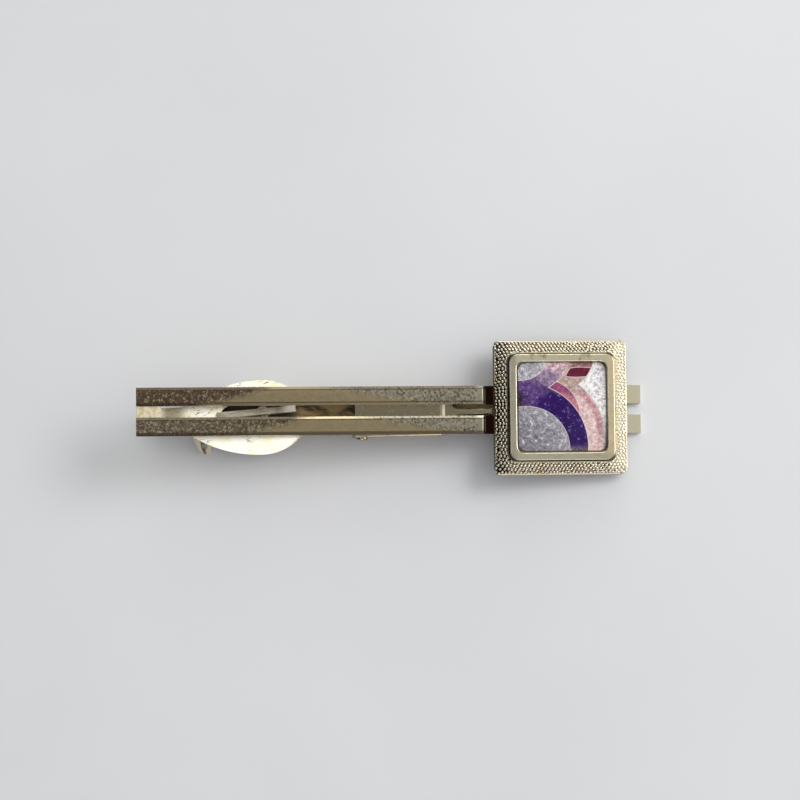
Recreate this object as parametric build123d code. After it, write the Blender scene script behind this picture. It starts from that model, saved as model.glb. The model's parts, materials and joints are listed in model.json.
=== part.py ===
"""Two-rail tie clip: a square enamelled head on two flat rails, with a sprung alligator clip behind them.

Millimetres. +X runs from the tail to the head, +Y across the rails and +Z out of the front face.
The origin is on the rails' back plane, midway between the rails, at the middle of the toothed grip.
The clip unit (base, lever, pin, spring) is soldered to the rails about a degree off their axis, so its
parts are built square to their own axis and turned together by seat_clip().
"""

from build123d import *
import math
import os

# Rails
LENGTH = 58.4
TAIL_X = -39.8
TIP_X = TAIL_X + LENGTH
RAIL_WIDTH = 2.12
RAIL_GAP = 1.33
RAIL_HEIGHT = 1.2
TONGUE_HEIGHT = 0.5
RAIL_BEVEL_WIDTH = 0.28
RAIL_BEVEL_DEPTH = 0.14
RAIL_CROWN = 0.02
RAIL_Y = (RAIL_GAP + RAIL_WIDTH) / 2
SPACER_LENGTH = 2.75
SPACER_HEIGHT = 0.95

# Head
HEAD_SIDE = 15.65
HEAD_X = 9.12
HEAD_Y = 0.2
HEAD_CORNER = 0.9
SHOULDER_X = HEAD_X - HEAD_SIDE / 2 - 1.0
SHOULDER_ROUND = 0.45
BACK_PLATE_HALF = 7.0
BACK_PLATE_TOP = 0.9
FRAME_EDGE_TOP = 1.0
FRAME_SLOPE_HALF = 6.45
FRAME_SLOPE_TOP = 1.95
RING_HALF = 6.12
RING_CORNER = 1.05
RING_TOP = 2.6
RING_SOFT = 0.14
GROOVE_WIDTH = 0.18
GROOVE_BOTTOM = 1.4
OPENING_HALF = 5.26
OPENING_CORNER = 0.8

# Enamel tile, built up in domed layers
TILE_X = HEAD_X + 0.06
TILE_Y = HEAD_Y + 0.05
TILE_HALF = 5.15
TILE_CORNER = 1.0
TILE_BOTTOM = 1.2
DOME_RADIUS = 47.0
BACK_ENAMEL_APEX = 1.72
COPPER_APEX = 2.02
FOIL_APEX = 2.07
ENAMEL_APEX = 2.5
ENAMEL_RIM_ROUND = 0.18
WIRE_PROUD = 0.015
WIRE_WIDTH = 0.07
# Circles that part the coloured cells: centre and radius, measured from the tile's centre
ARC_CORNER_FIELD = ((-4.25, -5.0), 5.05)
ARC_VIOLET = ((-4.5, -4.7), 7.46)
ARC_ROSE = ((-2.2, -1.0), 4.17)
ARC_BLUSH = ((-2.5, -3.4), 7.35)
ARC_CREST = ((-1.12, 6.57), 5.0)
ARC_FAR_FIELD = ((-4.85, 6.5), 3.45)
ARC_LILAC = ((-4.2, 6.8), 5.25)
ARC_ACCENT_ABOVE = ((2.2, -3.5), 8.05)
ARC_ACCENT_BELOW = ((1.6, 11.4), 8.02)
ARC_ACCENT_LEFT = ((3.5, 2.3), 3.34)

# Clip unit, in its own frame
CLIP_SKEW = 0.9
SKEW_X = 8.0
SHEET = 0.4
HINGE_X = -13.9
HINGE_Z = -2.0
PIN_RADIUS = 0.45
PIN_CLEARANCE = 0.05
PIN_HEAD_RADIUS = 0.7
PIN_HEAD_HEIGHT = 0.3
BASE_HALF = 2.7
BASE_BACK = HINGE_X - 0.8
BASE_SHOULDER = HINGE_X + 9.2
BASE_NOSE_START = HINGE_X + 10.9
BASE_NOSE_TIP = HINGE_X + 16.5
BASE_NOSE_HALF = 0.35
CREASE_X = HINGE_X + 9.35
CREASE_HALF = 0.3
CREASE_DEPTH = 0.08
EAR_RADIUS = 1.1
EAR_FRONT = HINGE_X + 6.3
SIDE_CLEARANCE = 0.05

# Lever
LEVER_HALF = BASE_HALF - SHEET - SIDE_CLEARANCE
LEVER_TAIL_HALF = 1.9
LEVER_NOSE_HALF = 1.4
LEVER_EAR_RADIUS = 1.2
LEVER_SOFT = 8.0
LEVER_WAIST = 3.0
LEVER_TIP_ROUND = 0.6
LEVER_FOLD = 0.3
TAIL_ANGLE = 10.5
TAIL_FRONT_X = HINGE_X - 6.1
TAIL_FRONT_Z = HINGE_Z - 0.6
TROUGH_END_X = HINGE_X - 16.9
TROUGH_DEPTH = 1.35
JAW_RIM_Z = -0.5
TOOTH_TIP_Z = -0.05
TOOTH_ROOT_Z = -0.62
TOOTH_COUNT = 5
TEETH_START = HINGE_X + 11.5
LEVER_TIP_X = HINGE_X + 16.9

# Thumb plate, lug and spring, in the tail plane
PLATE_THICKNESS = 0.45
PLATE_WIDEST = -5.6
PLATE_HALF = 4.37
PLATE_FRONT = 5.5
PLATE_SIDE_RADIUS = 15.5
PLATE_TONGUE_HALF = 1.5
PLATE_TONGUE_SOFT = 3.0
PLATE_TIP_X = -17.0
LUG_X = -12.7
LUG_THICKNESS = 0.35
LUG_PITCH = 25.0
LUG_ROOT_Y = -2.3
LUG_LENGTH = 1.95
LUG_EYE_REACH = 1.05
LUG_EYE_RADIUS = 0.35
SPRING_THICKNESS = 0.25
SPRING_HALF = 0.35
SPRING_PAD_RADIUS = 0.8
SPRING_OFFSET = 0.6
SPRING_BEND_X = -2.0
SPRING_BEND_RADIUS = 0.45
SPRING_FOOT_X = -8.6
SPRING_CONTACT_X = HINGE_X - 16.7
SPRING_CONTACT_Z = -0.03
SPRING_SKEW = 5.3
RIVET_X = -5.6
RIVET_RADIUS = 0.35
RIVET_HEAD_RADIUS = 0.65
RIVET_HEAD_HEIGHT = 0.25

ACROSS = Plane.XZ
TAIL_PLANE = Plane(origin=(TAIL_FRONT_X, 0, TAIL_FRONT_Z), x_dir=(1, 0, 0), z_dir=(0, 0, 1)).rotated(
    (0, -TAIL_ANGLE, 0)
)


def rounded_prism(half, corner, bottom, top, centre=(HEAD_X, HEAD_Y)):
    """A square prism with rounded corners, centred on the head unless told otherwise."""
    outline = RectangleRounded(2 * half, 2 * half, corner)
    return Pos(*centre, bottom) * extrude(outline, top - bottom)


def tile_prism(bottom, top):
    """The tile's outline as a prism; the tile sits a little off the middle of its opening."""
    return rounded_prism(TILE_HALF, TILE_CORNER, bottom, top, (TILE_X, TILE_Y))


def side_prism(points, half_width):
    """A closed outline in X and Z, extruded equally to both sides of the centre plane."""
    outline = make_face(Polyline(*points, close=True))
    return extrude(ACROSS * outline, half_width, both=True)


def plan_prism(face, bottom, top):
    """A face in X and Y, extruded from bottom to top."""
    return Pos(0, 0, bottom) * extrude(face, top - bottom)


def cross_rod(radius, half_length, x=HINGE_X, z=HINGE_Z):
    """A round rod along Y, centred on the hinge axis unless told otherwise."""
    return Pos(x, 0, z) * Rot(90, 0, 0) * Cylinder(radius, 2 * half_length)


def seat_clip(part):
    """Turns a clip part from the unit's own axis to its place on the rails."""
    return Pos(SKEW_X, 0, 0) * Rot(0, 0, CLIP_SKEW) * Pos(-SKEW_X, 0, 0) * part


# Bar


def rail_profile():
    """A rail's cross-section: flat back, bevelled edges and a very slightly crowned front."""
    edge = RAIL_WIDTH / 2
    flat = edge - RAIL_BEVEL_WIDTH
    shoulder = RAIL_HEIGHT - RAIL_BEVEL_DEPTH
    sides = Polyline(
        (-flat, RAIL_HEIGHT), (-edge, shoulder), (-edge, 0), (edge, 0), (edge, shoulder), (flat, RAIL_HEIGHT)
    )
    crown = ThreePointArc((flat, RAIL_HEIGHT), (0, RAIL_HEIGHT + RAIL_CROWN), (-flat, RAIL_HEIGHT))
    return make_face([sides, crown])


def rail(side):
    """One flat rail, stepped down at the head end to a thin tongue that carries the head."""
    top = RAIL_HEIGHT + RAIL_CROWN
    silhouette = make_face(
        Polyline(
            (TAIL_X, 0),
            (TIP_X, 0),
            (TIP_X, TONGUE_HEIGHT),
            (SHOULDER_X, TONGUE_HEIGHT),
            (SHOULDER_X, top),
            (TAIL_X, top),
            close=True,
        )
    )
    silhouette = fillet(silhouette.vertices().group_by(Axis.Y)[-1].sort_by(Axis.X)[-1], SHOULDER_ROUND)
    bar = Pos(TAIL_X, 0, 0) * extrude(Plane.YZ * rail_profile(), LENGTH)
    bar &= extrude(ACROSS * silhouette, RAIL_WIDTH, both=True)
    return Pos(0, side * RAIL_Y, 0) * bar


def tail_spacer():
    """The small block soldered between the rails at the tail."""
    block = Box(SPACER_LENGTH, RAIL_GAP, SPACER_HEIGHT, align=(Align.MIN, Align.CENTER, Align.MIN))
    return Pos(TAIL_X, 0, 0) * block


# Head


def back_plate():
    """The plate that ties both tongues together and closes the head from behind."""
    return rounded_prism(BACK_PLATE_HALF, HEAD_CORNER, TONGUE_HEIGHT, BACK_PLATE_TOP)


def head_frame():
    """The outer frame: an upright edge, then a slope up to the bezel ring."""
    side = HEAD_SIDE
    edge = rounded_prism(side / 2, HEAD_CORNER, TONGUE_HEIGHT, FRAME_EDGE_TOP)
    foot = Pos(HEAD_X, HEAD_Y, FRAME_EDGE_TOP) * RectangleRounded(side, side, HEAD_CORNER)
    brow = Pos(HEAD_X, HEAD_Y, FRAME_SLOPE_TOP) * RectangleRounded(
        2 * FRAME_SLOPE_HALF, 2 * FRAME_SLOPE_HALF, RING_CORNER
    )
    slope = loft([foot, brow])
    opening = rounded_prism(RING_HALF, RING_CORNER, BACK_PLATE_TOP, RING_TOP)
    groove_half = RING_HALF + GROOVE_WIDTH
    opening += rounded_prism(groove_half, RING_CORNER + GROOVE_WIDTH, GROOVE_BOTTOM, RING_TOP)
    rebate = rounded_prism(BACK_PLATE_HALF, HEAD_CORNER, TONGUE_HEIGHT, BACK_PLATE_TOP)
    return edge + slope - opening - rebate


def bezel_ring():
    """The smooth raised ring round the enamel."""
    ring = rounded_prism(RING_HALF, RING_CORNER, BACK_PLATE_TOP, RING_TOP)
    ring -= rounded_prism(OPENING_HALF, OPENING_CORNER, BACK_PLATE_TOP, RING_TOP)
    return fillet(ring.edges().group_by(Axis.Z)[-1], RING_SOFT)


def adhesive_pad():
    """The thin bed that holds the tile down on the back plate."""
    return tile_prism(BACK_PLATE_TOP, TILE_BOTTOM)


def dome(apex):
    """A large ball whose top is the domed surface that peaks at apex."""
    return Pos(TILE_X, TILE_Y, apex - DOME_RADIUS) * Sphere(DOME_RADIUS)


def tile_layer(lower_apex, upper_apex):
    """One domed layer of the tile; the lowest one has a flat back."""
    block = tile_prism(TILE_BOTTOM, RING_TOP) & dome(upper_apex)
    if lower_apex is None:
        return block
    return block - dome(lower_apex)


def disc(arc, grow=0.0):
    """The inside of one of the pattern's circles, as a tall column."""
    (x, y), radius = arc
    column = Cylinder(radius + grow, RING_TOP, align=(Align.CENTER, Align.CENTER, Align.MIN))
    return Pos(TILE_X + x, TILE_Y + y, 0) * column


def accent(grow=0.0):
    """The small four-sided accent where its three circles and the crest's circle overlap."""
    column = disc(ARC_ACCENT_ABOVE, grow) & disc(ARC_ACCENT_BELOW, grow)
    return column & disc(ARC_ACCENT_LEFT, grow) & disc(ARC_CREST, grow)


def glass_layer(apex):
    """The whole layer of glass over the foil, with a softly rounded rim."""
    block = tile_layer(None, apex)
    rim = [edge for edge in block.edges() if edge.center().Z > apex - 0.9]
    return fillet(rim, ENAMEL_RIM_ROUND) - dome(FOIL_APEX)


def enamel_cells():
    """The glass fill of each cell, and the silver wires between them."""
    layer = glass_layer(ENAMEL_APEX)
    inner = disc(ARC_CORNER_FIELD)
    violet_disc = disc(ARC_VIOLET)
    spot = accent()
    far_field = disc(ARC_FAR_FIELD) - violet_disc
    lilac = disc(ARC_LILAC) - violet_disc - far_field - spot
    rose = disc(ARC_ROSE) - violet_disc - lilac
    blush = disc(ARC_BLUSH) + disc(ARC_CREST) - violet_disc - far_field - lilac - rose - spot
    violet = violet_disc - inner
    cells = {"violet": violet, "lilac": lilac, "rose": rose + spot, "blush": blush}
    column = cell_wires_column()
    coloured = violet + lilac + rose + spot + blush
    solids = {f"enamel_{name}": (layer & cell) - column for name, cell in cells.items()}
    solids["enamel_clear"] = layer - coloured - column
    solids["cell_wires"] = glass_layer(ENAMEL_APEX + WIRE_PROUD) & column
    return solids


def wire_ring(arc):
    """The upright wall of wire that follows one circle of the pattern."""
    return disc(arc, WIRE_WIDTH / 2) - disc(arc, -WIRE_WIDTH / 2)


def cell_wires_column():
    """Every wire of the pattern as tall walls, each kept only where it parts two cells.

    Violet and lilac run into each other with no wire between them.
    """
    half = WIRE_WIDTH / 2
    violet_disc = disc(ARC_VIOLET, half)
    far_field = disc(ARC_FAR_FIELD, half)
    lilac = disc(ARC_LILAC, half)
    spot = accent(-half)
    upper = violet_disc + far_field + lilac + spot
    return (
        wire_ring(ARC_CORNER_FIELD)
        + (wire_ring(ARC_VIOLET) - disc(ARC_LILAC, -half))
        + (wire_ring(ARC_FAR_FIELD) - violet_disc)
        + (wire_ring(ARC_LILAC) - violet_disc - far_field - spot)
        + (wire_ring(ARC_ROSE) - violet_disc - lilac)
        + (wire_ring(ARC_BLUSH) - upper - disc(ARC_CREST, -half))
        + (wire_ring(ARC_CREST) - upper - disc(ARC_BLUSH, -half))
        + (accent(half) - spot)
    )


# Clip unit


def clip_base():
    """The fixed jaw: a folded plate soldered to the rails, with two ears for the pin and a narrow nose."""
    plan = Polyline(
        (BASE_BACK, -BASE_HALF),
        (BASE_SHOULDER, -BASE_HALF),
        (BASE_NOSE_START, -BASE_NOSE_HALF),
        (BASE_NOSE_TIP, -BASE_NOSE_HALF),
        (BASE_NOSE_TIP, BASE_NOSE_HALF),
        (BASE_NOSE_START, BASE_NOSE_HALF),
        (BASE_SHOULDER, BASE_HALF),
        (BASE_BACK, BASE_HALF),
        close=True,
    )
    web = plan_prism(make_face(plan), -SHEET, 0)
    waist = web.edges().filter_by(Axis.Z).group_by(Axis.X)[2]
    web = fillet(waist, 1.0)
    web = fillet(web.edges().filter_by(Axis.Z).group_by(Axis.X)[-1], BASE_NOSE_HALF * 0.8)
    nose_edges = [
        e
        for e in web.edges().filter_by(Axis.X)
        if abs(e.center().Z) < 0.01 and e.center().X > BASE_NOSE_START
    ]
    web = fillet(nose_edges, SHEET * 0.5)
    ear_outline = make_hull(
        (Pos(HINGE_X, HINGE_Z) * Circle(EAR_RADIUS)).edges()
        + Polyline((BASE_BACK, 0), (EAR_FRONT, 0), (EAR_FRONT, -SHEET), (BASE_BACK, -SHEET), close=True).edges()
    )
    ears = extrude(ACROSS * ear_outline, BASE_HALF, both=True)
    ears -= extrude(ACROSS * ear_outline, BASE_HALF - SHEET, both=True)
    base = web + ears
    fold_edges = [
        e
        for e in base.edges().filter_by(Axis.X)
        if abs(e.center().Z) < 0.01 and abs(abs(e.center().Y) - BASE_HALF) < 0.01
    ]
    base = fillet(fold_edges, 0.25)
    base -= cross_rod(PIN_RADIUS, BASE_HALF + 1)
    crease = side_prism([(-CREASE_HALF, 0), (CREASE_HALF, 0), (0, -CREASE_DEPTH)], BASE_HALF + 1)
    base -= Pos(CREASE_X, 0, 0) * crease
    notch_pitch = (BASE_NOSE_TIP - BASE_NOSE_START) / (TOOTH_COUNT + 1)
    notch = side_prism([(-0.2, -SHEET - 0.05), (0.2, -SHEET - 0.05), (0, -SHEET + 0.15)], BASE_HALF)
    for i in range(TOOTH_COUNT):
        base -= Pos(BASE_NOSE_START + (i + 1) * notch_pitch, 0, 0) * notch
    return base


def lever_plan(inset):
    """The lever seen from the front: a round-ended tail, a wide middle and a narrow nose."""
    tail = LEVER_TAIL_HALF - inset
    wide = LEVER_HALF - inset
    nose = LEVER_NOSE_HALF - inset
    tail_centre = TROUGH_END_X + LEVER_TAIL_HALF
    tip = LEVER_TIP_X - inset
    corners = [(HINGE_X - 5.0, wide), (HINGE_X + 8.0, wide), (HINGE_X + 11.4, nose), (tip, nose)]
    upper = [(tail_centre, tail)] + corners
    lower = [(x, -y) for x, y in reversed(upper)]
    sides = make_face(Polyline(*upper, *lower, close=True))
    for (x, y), radius in zip(corners, (LEVER_SOFT, LEVER_WAIST, LEVER_WAIST, LEVER_TIP_ROUND)):
        sides = fillet(near(sides.vertices(), x, y) + near(sides.vertices(), x, -y), radius)
    return sides + Pos(tail_centre, 0) * Circle(tail)


def near(vertices, x, y):
    """The vertices of a flat outline that lie at x, y."""
    return ShapeList([v for v in vertices if math.hypot(v.X - x, v.Y - y) < 0.01])


def tail_z(x, depth=0.0):
    """Height of the tail plane, or of a face a given depth below it, at x."""
    slope = math.tan(math.radians(TAIL_ANGLE))
    return TAIL_FRONT_Z + (x - TAIL_FRONT_X) * slope - depth / math.cos(math.radians(TAIL_ANGLE))


def lever_floor(lift=0.0):
    """Points along the lever's floor from the tail to the nose, lifted by the sheet for the inner face."""
    return [
        (TROUGH_END_X - 1, tail_z(TROUGH_END_X - 1, TROUGH_DEPTH) + lift),
        (TAIL_FRONT_X, tail_z(TAIL_FRONT_X, TROUGH_DEPTH) + lift),
        (HINGE_X, HINGE_Z - 1.3 + lift),
        (HINGE_X + 6.0, HINGE_Z - 1.1 + lift),
        (LEVER_TIP_X + 1, -1.4 + lift),
    ]


def lever_rim():
    """Points along the lever's open edge from the nose, over the teeth and the hinge, back to the tail."""
    pitch = (LEVER_TIP_X - TEETH_START) / TOOTH_COUNT
    points = [(LEVER_TIP_X + 1, TOOTH_TIP_Z)]
    for i in range(TOOTH_COUNT):
        tip_x = LEVER_TIP_X - i * pitch
        points.append((tip_x, TOOTH_TIP_Z))
        points.append((tip_x - 0.5 * pitch, TOOTH_ROOT_Z))
    points += [
        (TEETH_START, JAW_RIM_Z),
        (HINGE_X + 1.1, JAW_RIM_Z),
        (HINGE_X + 0.5, HINGE_Z + LEVER_EAR_RADIUS - 0.05),
        (HINGE_X - 0.5, HINGE_Z + LEVER_EAR_RADIUS - 0.05),
        (HINGE_X - 2.3, HINGE_Z + 0.75),
        (TAIL_FRONT_X, TAIL_FRONT_Z),
        (TROUGH_END_X - 1, tail_z(TROUGH_END_X - 1)),
    ]
    return points


def lever_side(points, bends):
    """The side view of the lever, or of its hollow, with the pressed bends made soft."""
    outline = make_face(Polyline(*points, close=True))
    for x, y in bends:
        outline = fillet(near(outline.vertices(), x, y), LEVER_SOFT)
    return extrude(ACROSS * outline, 6, both=True)


def lever_arm():
    """The moving jaw: a folded trough, open towards the rails, that turns on the pin."""
    floor = lever_floor()
    outer = plan_prism(lever_plan(0), -12, 4) & lever_side(floor + lever_rim(), floor[1:-1])
    under = [e for e in outer.edges() if is_fold(e)]
    outer = fillet(under, LEVER_FOLD)
    inner_floor = lever_floor(SHEET)
    open_top = [(LEVER_TIP_X + 1, 4), (TROUGH_END_X - 1, 4)]
    hollow = plan_prism(lever_plan(SHEET), -12, 4) & lever_side(inner_floor + open_top, inner_floor[1:-1])
    arm = outer - hollow
    arm -= cross_rod(PIN_RADIUS + PIN_CLEARANCE, LEVER_HALF + 1)
    return arm - rivet_shank()


def is_fold(edge):
    """True for an edge where the lever's floor turns up into its wall."""
    middle = edge @ 0.5
    points = sorted(lever_floor())
    for (x0, z0), (x1, z1) in zip(points, points[1:]):
        if x0 <= middle.X <= x1:
            level = z0 + (z1 - z0) * (middle.X - x0) / (x1 - x0)
            return abs(middle.Z - level) < 0.2
    return False


def rivet_shank():
    """The part of the spring's rivet that fills the hole through the lever's floor and the spring's foot."""
    return TAIL_PLANE * Pos(RIVET_X, SPRING_OFFSET, -TROUGH_DEPTH) * Cylinder(
        RIVET_RADIUS, SHEET + SPRING_THICKNESS, align=(Align.CENTER, Align.CENTER, Align.MIN)
    )


def spring_rivet():
    """The rivet that fastens the spring's foot to the lever's floor."""
    head = Cylinder(
        RIVET_HEAD_RADIUS, RIVET_HEAD_HEIGHT, align=(Align.CENTER, Align.CENTER, Align.MAX)
    )
    outside = fillet(head.edges().group_by(Axis.Z)[0], RIVET_HEAD_HEIGHT * 0.8)
    upset = Cylinder(RIVET_HEAD_RADIUS * 0.8, 0.2, align=(Align.CENTER, Align.CENTER, Align.MIN))
    upset = fillet(upset.edges().group_by(Axis.Z)[-1], 0.12)
    axis = TAIL_PLANE * Pos(RIVET_X, SPRING_OFFSET, -TROUGH_DEPTH)
    return axis * outside + rivet_shank() + axis * Pos(0, 0, SHEET + SPRING_THICKNESS) * upset


def plate_outline():
    """The thumb plate's leaf shape: blunt towards the hinge, with a round-ended tongue towards the tail."""
    behind = Pos(PLATE_WIDEST, 0) * Rectangle(20, 20, align=(Align.MAX, Align.CENTER))
    front = Pos(PLATE_WIDEST, 0) * Ellipse(PLATE_FRONT, PLATE_HALF) - behind
    sink = PLATE_SIDE_RADIUS - PLATE_HALF
    upper = Pos(PLATE_WIDEST, -sink) * Circle(PLATE_SIDE_RADIUS)
    lower = Pos(PLATE_WIDEST, sink) * Circle(PLATE_SIDE_RADIUS)
    neck_x = PLATE_WIDEST - math.sqrt(PLATE_SIDE_RADIUS**2 - (sink + PLATE_TONGUE_HALF) ** 2)
    strip = Rectangle(neck_x + 1 - PLATE_TIP_X, 2 * PLATE_TONGUE_HALF, align=(Align.MIN, Align.CENTER))
    outline = front + (upper & lower & behind) + Pos(PLATE_TIP_X, 0) * (strip + Circle(PLATE_TONGUE_HALF))
    for side in (1, -1):
        outline = fillet(near(outline.vertices(), neck_x, side * PLATE_TONGUE_HALF), PLATE_TONGUE_SOFT)
    return outline


def thumb_plate():
    """The leaf-shaped plate soldered on the trough's rim, slotted where the trough opens."""
    blank = extrude(TAIL_PLANE * plate_outline(), PLATE_THICKNESS)
    return blank - plan_prism(lever_plan(SHEET), -12, 4)


def lug_leg():
    """The lug's tapering leg, laid flat: wide at the root and narrow at the outer end."""
    outline = Polyline(
        (-1.2, 0), (1.2, 0), (0.75, -LUG_LENGTH), (-0.1, -LUG_LENGTH), (-0.5, -LUG_LENGTH * 0.85), close=True
    )
    leg = plan_prism(make_face(outline), -LUG_THICKNESS, 0)
    return leg - Pos(0.1, -LUG_EYE_REACH, 0) * Cylinder(LUG_EYE_RADIUS, 4 * LUG_THICKNESS)


def chain_lug():
    """The small folded lug under the thumb plate's edge, with an eye for a safety chain."""
    root = TAIL_PLANE * Pos(LUG_X, LUG_ROOT_Y, 0)
    pad = Pos(0, 0.8, -LUG_THICKNESS / 2) * Box(2.4, 1.6, LUG_THICKNESS)
    return root * (pad + Rot(LUG_PITCH, 0, 0) * lug_leg())


def spring_outline():
    """The hairpin seen from the side, in the tail plane's own X and depth."""
    floor = -TROUGH_DEPTH + SHEET
    centre = (SPRING_BEND_X, floor + SPRING_BEND_RADIUS)
    contact = TAIL_PLANE.to_local_coords(Vector(SPRING_CONTACT_X, 0, SPRING_CONTACT_Z))
    reach = (centre[0] - contact.X, contact.Z - centre[1])
    span = math.hypot(*reach)
    rise = math.degrees(math.atan2(reach[1], reach[0]) - math.asin(SPRING_BEND_RADIUS / span))
    leg_length = math.sqrt(span**2 - SPRING_BEND_RADIUS**2)
    foot_length = SPRING_BEND_X - SPRING_FOOT_X
    inner_radius = SPRING_BEND_RADIUS - SPRING_THICKNESS
    bend = Circle(SPRING_BEND_RADIUS) - Circle(inner_radius)
    foot_side = Pos(-2, 0) * Rectangle(4, 4)
    leg_side = Rot(0, 0, -rise) * foot_side
    bend -= foot_side & leg_side
    bend -= Pos(-1, -0.5) * Rectangle(2, 1) & foot_side
    foot = Pos(-foot_length / 2, -SPRING_BEND_RADIUS + SPRING_THICKNESS / 2) * Rectangle(
        foot_length, SPRING_THICKNESS
    )
    leg = Rot(0, 0, -rise) * Pos(-leg_length / 2, SPRING_BEND_RADIUS - SPRING_THICKNESS / 2) * Rectangle(
        leg_length, SPRING_THICKNESS
    )
    return Pos(*centre) * (bend + foot + leg)


def hairpin_spring():
    """The flat hairpin spring that pushes the lever's tail away from the rails."""
    strip = extrude(ACROSS * spring_outline(), SPRING_HALF, both=True)
    pad = Cylinder(
        SPRING_PAD_RADIUS, SPRING_THICKNESS, align=(Align.CENTER, Align.CENTER, Align.MIN)
    )
    strip += Pos(RIVET_X, 0, SHEET - TROUGH_DEPTH) * pad
    strip = Pos(RIVET_X, SPRING_OFFSET, 0) * Rot(0, 0, SPRING_SKEW) * Pos(-RIVET_X, 0, 0) * strip
    return TAIL_PLANE * strip - rivet_shank()


def hinge_pin():
    """The pin riveted through both ears."""
    pin = cross_rod(PIN_RADIUS, BASE_HALF)
    head = Cylinder(PIN_HEAD_RADIUS, PIN_HEAD_HEIGHT, align=(Align.CENTER, Align.CENTER, Align.MIN))
    head = fillet(head.edges().group_by(Axis.Z)[-1], PIN_HEAD_HEIGHT * 0.8)
    for turn in (90, -90):
        pin += Pos(HINGE_X, 0, HINGE_Z) * Rot(turn, 0, 0) * Pos(0, 0, BASE_HALF) * head
    return pin


def all_parts():
    """Every node of the tie clip by name."""
    parts = {
        "rail_upper": rail(1),
        "rail_lower": rail(-1),
        "tail_spacer": tail_spacer(),
        "back_plate": back_plate(),
        "head_frame": head_frame(),
        "bezel_ring": bezel_ring(),
        "adhesive_pad": adhesive_pad(),
        "counter_enamel": tile_layer(None, BACK_ENAMEL_APEX),
        "copper_blank": tile_layer(BACK_ENAMEL_APEX, COPPER_APEX),
        "silver_foil": tile_layer(COPPER_APEX, FOIL_APEX),
    }
    parts |= enamel_cells()
    clip_unit = {
        "clip_base": clip_base(),
        "lever_arm": lever_arm(),
        "thumb_plate": thumb_plate(),
        "chain_lug": chain_lug(),
        "hairpin_spring": hairpin_spring(),
        "spring_rivet": spring_rivet(),
        "hinge_pin": hinge_pin(),
    }
    parts |= {name: seat_clip(part) for name, part in clip_unit.items()}
    return parts


os.makedirs("parts", exist_ok=True)
for node, shape in all_parts().items():
    export_step(shape, f"parts/{node}.step")
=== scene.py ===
import json
import math

import bmesh
import bpy
import numpy as np
from mathutils import Matrix, Vector
from mathutils.kdtree import KDTree


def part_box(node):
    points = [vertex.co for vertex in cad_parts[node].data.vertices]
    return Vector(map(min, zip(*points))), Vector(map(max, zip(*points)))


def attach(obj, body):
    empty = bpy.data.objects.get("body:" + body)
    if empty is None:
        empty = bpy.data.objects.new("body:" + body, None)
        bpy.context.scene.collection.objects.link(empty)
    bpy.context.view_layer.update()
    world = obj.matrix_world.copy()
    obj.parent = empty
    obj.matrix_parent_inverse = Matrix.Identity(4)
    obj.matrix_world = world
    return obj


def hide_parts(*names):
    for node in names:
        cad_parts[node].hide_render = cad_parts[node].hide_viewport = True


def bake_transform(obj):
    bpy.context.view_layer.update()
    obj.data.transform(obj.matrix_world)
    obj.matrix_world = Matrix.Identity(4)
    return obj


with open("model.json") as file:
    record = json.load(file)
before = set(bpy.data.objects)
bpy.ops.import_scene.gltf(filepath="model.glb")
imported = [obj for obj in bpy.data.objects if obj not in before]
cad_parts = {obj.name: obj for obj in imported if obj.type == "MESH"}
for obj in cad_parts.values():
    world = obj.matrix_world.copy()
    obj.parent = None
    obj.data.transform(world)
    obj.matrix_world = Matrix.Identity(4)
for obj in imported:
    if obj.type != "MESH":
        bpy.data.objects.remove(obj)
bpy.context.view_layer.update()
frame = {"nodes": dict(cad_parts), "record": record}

MM = 0.001
NODES = frame["nodes"]
RNG = np.random.default_rng(41)

# Where the head, the tile, the rails and the hinge are, in millimetres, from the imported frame
FRAME_LOW, FRAME_HIGH = (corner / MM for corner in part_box("head_frame"))
RING_LOW, RING_HIGH = (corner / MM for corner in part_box("bezel_ring"))
RAIL_LOW, RAIL_HIGH = (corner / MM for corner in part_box("rail_upper"))
TILE_LOW, TILE_HIGH = (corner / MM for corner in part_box("silver_foil"))
TILE_X = (TILE_LOW.x + TILE_HIGH.x) / 2
TILE_Y = (TILE_LOW.y + TILE_HIGH.y) / 2
HEAD_X = (FRAME_LOW.x + FRAME_HIGH.x) / 2
HEAD_Y = (FRAME_LOW.y + FRAME_HIGH.y) / 2
HEAD_HALF = (FRAME_HIGH.x - FRAME_LOW.x) / 2
RING_HALF = (RING_HIGH.x - RING_LOW.x) / 2
RAIL_Y = (RAIL_LOW.y + RAIL_HIGH.y) / 2
RAIL_HALF = (RAIL_HIGH.y - RAIL_LOW.y) / 2
TAIL_X = RAIL_LOW.x
RAIL_X_END = FRAME_LOW.x - 1.0
HINGE_X = frame["record"]["behaviour"]["joints"][0]["pos_m"][0] / MM


# Mesh helpers


def new_mesh(name, verts, faces):
    """A smooth-shaded object from vertices in millimetres."""
    mesh = bpy.data.meshes.new(name)
    mesh.from_pydata([tuple(v) for v in np.asarray(verts) * MM], [], [tuple(map(int, f)) for f in faces])
    mesh.validate()
    mesh.shade_smooth()
    obj = bpy.data.objects.new(name, mesh)
    bpy.context.scene.collection.objects.link(obj)
    return obj


def set_attribute(obj, name, values):
    """A number on every vertex, for the materials to read."""
    attribute = obj.data.attributes.new(name, "FLOAT", "POINT")
    attribute.data.foreach_set("value", np.asarray(values, np.float32))


def fix_normals(obj):
    """Turns every face of a closed mesh outwards."""
    work = bmesh.new()
    work.from_mesh(obj.data)
    bmesh.ops.recalc_face_normals(work, faces=work.faces)
    work.to_mesh(obj.data)
    work.free()


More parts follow.
